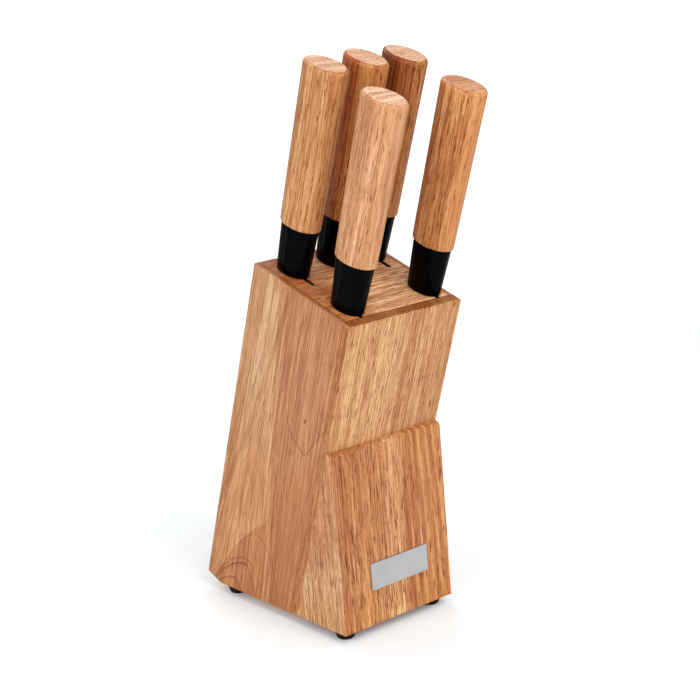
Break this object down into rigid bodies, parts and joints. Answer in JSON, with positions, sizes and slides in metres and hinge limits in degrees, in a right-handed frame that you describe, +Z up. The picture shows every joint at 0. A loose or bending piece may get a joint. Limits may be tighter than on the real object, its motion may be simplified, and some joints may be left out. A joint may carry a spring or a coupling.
{
  "type": "knife block with knives",
  "caption": "Forward-leaning wooden knife block on rubber feet with a solid front foot; oval-handled knives lift out of its slotted top along the lean.",
  "frame": {"origin": "on the surface it stands on, at the centre of the bounding box of the block with all its knives seated", "axes": "+Z up, the longest extent; +X to the right seen from the front, the shortest extent; the front, with the front foot and the metal plate, faces -Y"},
  "size_m": [0.09, 0.1898, 0.3537],
  "materials": {
    "panel_wood": "oiled, satin",
    "plate_wood": "oiled, satin",
    "foot_wood": "oiled, satin",
    "guide_wood": "plain sanded",
    "dowel_wood": "plain sanded",
    "grip_wood": "oiled, satin",
    "ferrule_black": "gloss",
    "blade_steel": "satin ground",
    "plate_metal": "satin",
    "foot_rubber": "matt",
    "screw_steel": "zinc plated"
  },
  "bodies": {
    "block": {"front_panel": "panel_wood", "back_panel": "panel_wood", "left_side_panel": "panel_wood", "right_side_panel": "panel_wood", "top_plate": "plate_wood", "blade_guide": "guide_wood", "bottom_plate": "panel_wood", "front_foot": "foot_wood", "foot_dowels": "dowel_wood", "plain_plate": "plate_metal", "rubber_foot_front_left": "foot_rubber", "rubber_foot_front_right": "foot_rubber", "rubber_foot_back_left": "foot_rubber", "rubber_foot_back_right": "foot_rubber", "foot_screws": "screw_steel"},
    "chef_knife": {"chef_blade": "blade_steel", "chef_ferrule": "ferrule_black", "chef_grip": "grip_wood"},
    "slicing_knife": {"slicing_blade": "blade_steel", "slicing_ferrule": "ferrule_black", "slicing_grip": "grip_wood"},
    "bread_knife": {"bread_blade": "blade_steel", "bread_ferrule": "ferrule_black", "bread_grip": "grip_wood"},
    "utility_knife": {"utility_blade": "blade_steel", "utility_ferrule": "ferrule_black", "utility_grip": "grip_wood"},
    "paring_knife": {"paring_blade": "blade_steel", "paring_ferrule": "ferrule_black", "paring_grip": "grip_wood"}
  },
  "joints": [
    {"name": "chef_knife_lift", "type": "slide", "parent": "block", "child": "chef_knife", "axis": [0, -0.3032, 0.9529], "range_m": [0, 0.215]},
    {"name": "slicing_knife_lift", "type": "slide", "parent": "block", "child": "slicing_knife", "axis": [0, -0.3032, 0.9529], "range_m": [0, 0.215]},
    {"name": "bread_knife_lift", "type": "slide", "parent": "block", "child": "bread_knife", "axis": [0, -0.3032, 0.9529], "range_m": [0, 0.215]},
    {"name": "utility_knife_lift", "type": "slide", "parent": "block", "child": "utility_knife", "axis": [0, -0.3032, 0.9529], "range_m": [0, 0.145]},
    {"name": "paring_knife_lift", "type": "slide", "parent": "block", "child": "paring_knife", "axis": [0, -0.3032, 0.9529], "range_m": [0, 0.105]}
  ]
}
